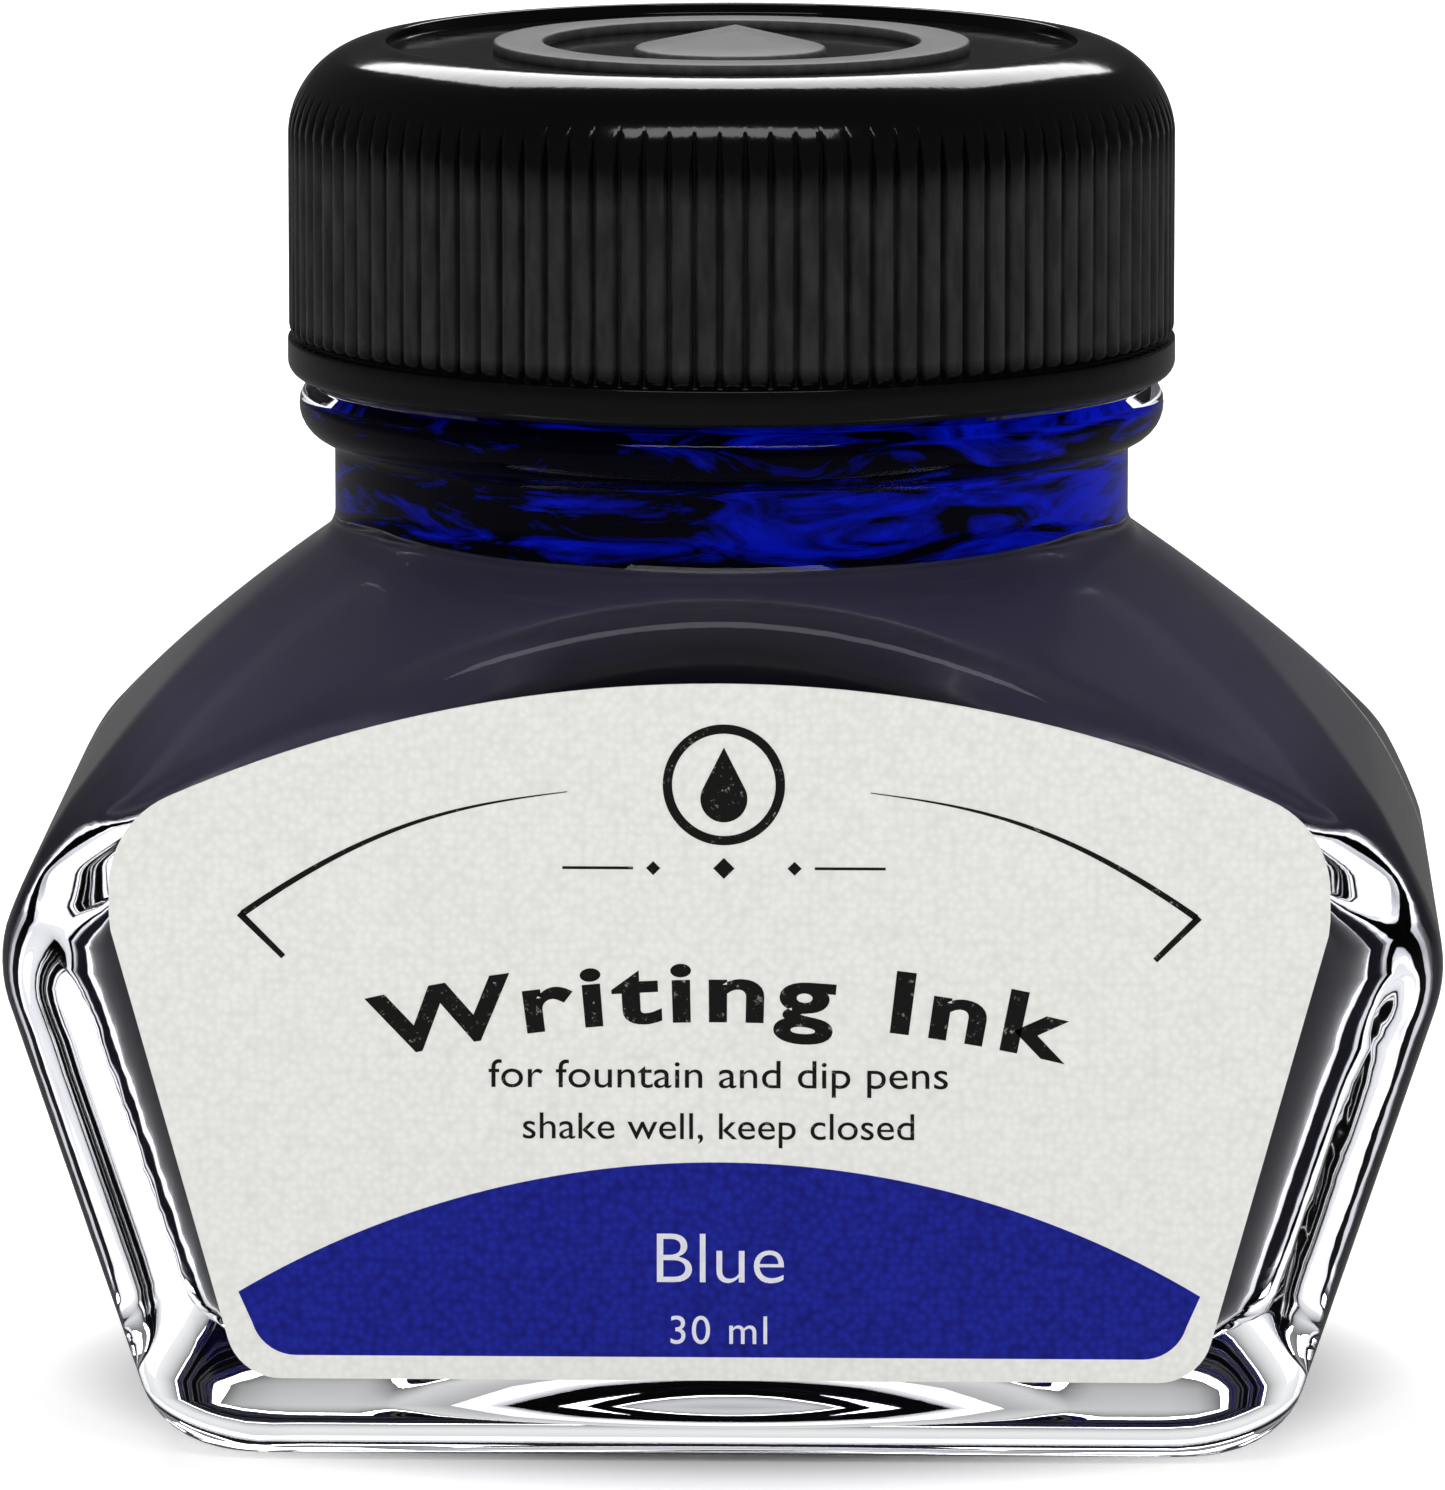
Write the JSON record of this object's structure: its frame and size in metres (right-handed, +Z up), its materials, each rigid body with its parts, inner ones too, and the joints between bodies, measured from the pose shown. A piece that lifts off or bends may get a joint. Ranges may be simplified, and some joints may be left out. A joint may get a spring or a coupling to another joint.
{
  "type": "ink bottle",
  "caption": "Small thick-walled glass ink bottle with leaning sides, a conical shoulder, an arched paper label and a ribbed black screw cap that unscrews and lifts clear.",
  "frame": {"origin": "centre of the base, on the plane that the bottle stands on", "axes": "+Z up along the neck and the screw thread; +X to the right when the label is read; the label faces -Y"},
  "size_m": [0.0576, 0.0383, 0.0551],
  "materials": {
    "clear_glass": "polished",
    "blue_ink": "gloss",
    "label_paper": "matte",
    "cap_plastic": "gloss",
    "liner_wad": "matte",
    "badge_grey": "matte"
  },
  "bodies": {
    "bottle": {"glass_bottle": "clear_glass", "ink": "blue_ink", "front_label": "label_paper"},
    "liner": {"cap_liner": "liner_wad"},
    "cap": {"cap_shell": "cap_plastic", "cap_emblem": "badge_grey"}
  },
  "joints": [
    {"name": "cap_lift", "type": "slide", "parent": "bottle", "child": "liner", "axis": [0, 0, 1], "range_m": [0, 0.01279]},
    {"name": "cap_turn", "type": "hinge", "parent": "liner", "child": "cap", "pos_m": [0, 0, 0.0518], "axis": [0, 0, 1], "range_deg": [0, 1080]}
  ],
  "couplings": [
    {"joint": "cap_lift", "follows": "cap_turn", "m_per_rad": 0.00067323}
  ]
}
